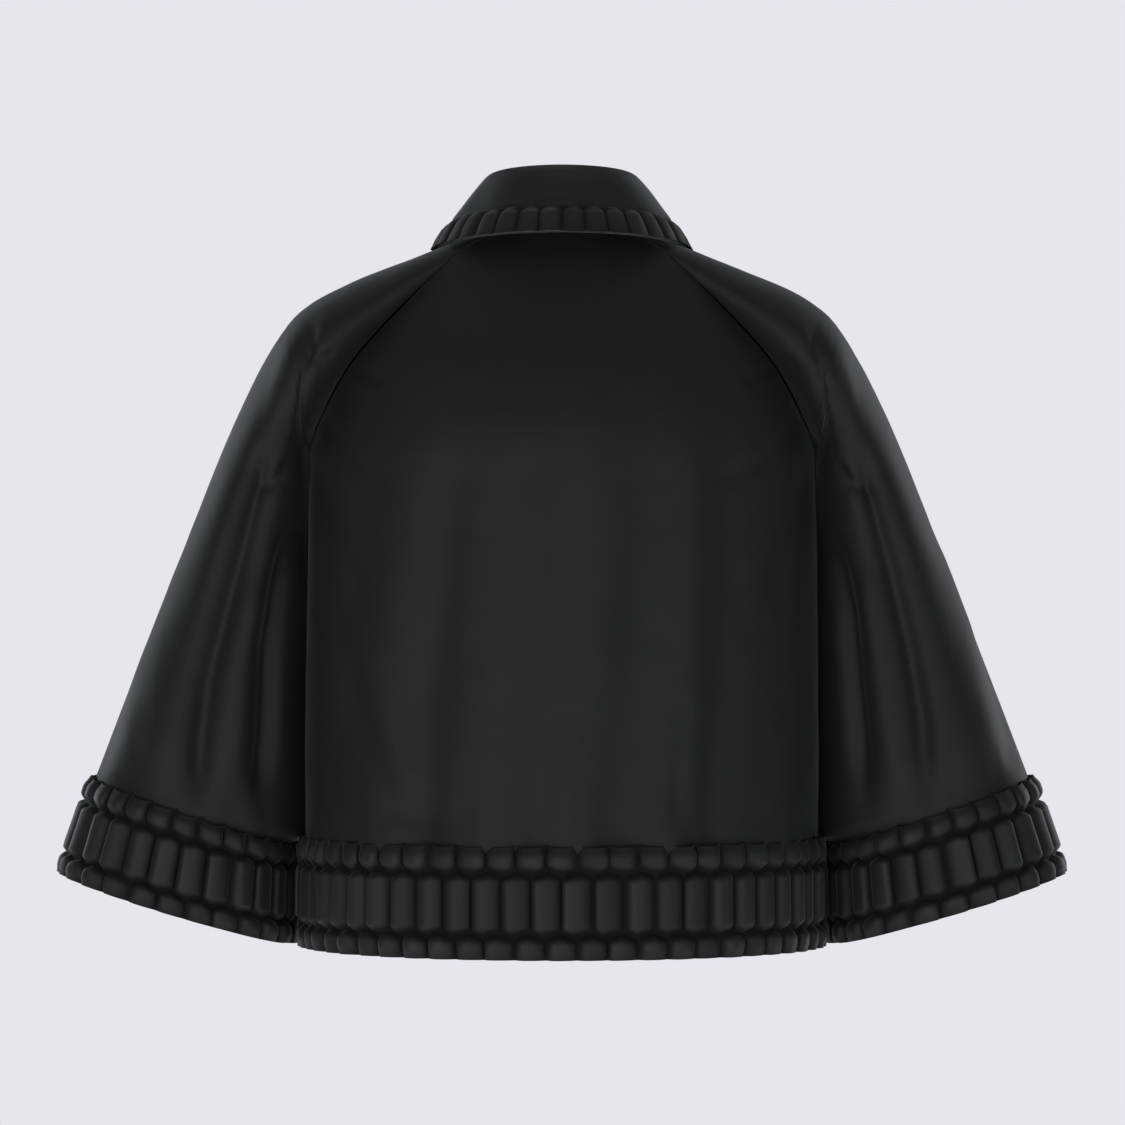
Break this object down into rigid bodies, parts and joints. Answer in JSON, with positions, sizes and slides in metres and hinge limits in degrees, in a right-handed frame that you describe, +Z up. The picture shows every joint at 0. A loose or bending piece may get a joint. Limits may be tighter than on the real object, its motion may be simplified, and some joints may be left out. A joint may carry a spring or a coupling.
{
  "type": "cape jacket",
  "caption": "Short black satin cape-jacket with raglan bell sleeves, a turn-down collar and pleated trim on collar, hem and cuffs.",
  "frame": {"origin": "centre of the neck opening, at the height of the collar seam", "axes": "+Z up; -Y is the back of the garment and +Y its open front; +X is the wearer's right-hand side when seen from behind"},
  "size_m": [0.808, 0.3035, 0.62],
  "materials": {
    "satin": "thin black satin with a soft sheen",
    "pleated_satin": "the same satin, box-pleated and stitched down",
    "ribbon": "narrow black ribbon",
    "dark_metal": "black-coated wire"
  },
  "bodies": {
    "torso": {"back_panel": "satin", "collar_stand": "satin", "upper_collar": "satin", "under_collar": "satin", "back_neck_facing": "satin", "front_panel_left": "satin", "front_panel_right": "satin", "raglan_back_left": "satin", "raglan_back_right": "satin", "raglan_front_left": "satin", "raglan_front_right": "satin", "upper_facing_left": "satin", "upper_facing_right": "satin", "hem_trim_back": "pleated_satin", "collar_trim": "pleated_satin", "hem_trim_side_left": "pleated_satin", "hem_trim_side_right": "pleated_satin", "neck_hook": "dark_metal", "neck_eye": "dark_metal", "hanger_loop": "ribbon"},
    "sleeve_left": {"sleeve_back_left": "satin", "sleeve_front_left": "satin", "cuff_trim_left": "pleated_satin"},
    "front_left": {"front_flap_left": "satin", "front_facing_left": "satin", "hem_trim_front_left": "pleated_satin"},
    "sleeve_right": {"sleeve_back_right": "satin", "sleeve_front_right": "satin", "cuff_trim_right": "pleated_satin"},
    "front_right": {"front_flap_right": "satin", "front_facing_right": "satin", "hem_trim_front_right": "pleated_satin"}
  },
  "joints": [
    {"name": "left_sleeve_lift", "type": "hinge", "parent": "torso", "child": "sleeve_left", "pos_m": [-0.218, 0, -0.07], "axis": [0, 1, 0], "range_deg": [0, 40]},
    {"name": "right_sleeve_lift", "type": "hinge", "parent": "torso", "child": "sleeve_right", "pos_m": [0.218, 0, -0.07], "axis": [0, -1, 0], "range_deg": [0, 40]},
    {"name": "left_front_open", "type": "hinge", "parent": "torso", "child": "front_left", "pos_m": [-0.1547, 0.1049, -0.37], "axis": [0, 0, 1], "range_deg": [0, 60]},
    {"name": "right_front_open", "type": "hinge", "parent": "torso", "child": "front_right", "pos_m": [0.1547, 0.1049, -0.37], "axis": [0, 0, -1], "range_deg": [0, 60]}
  ]
}
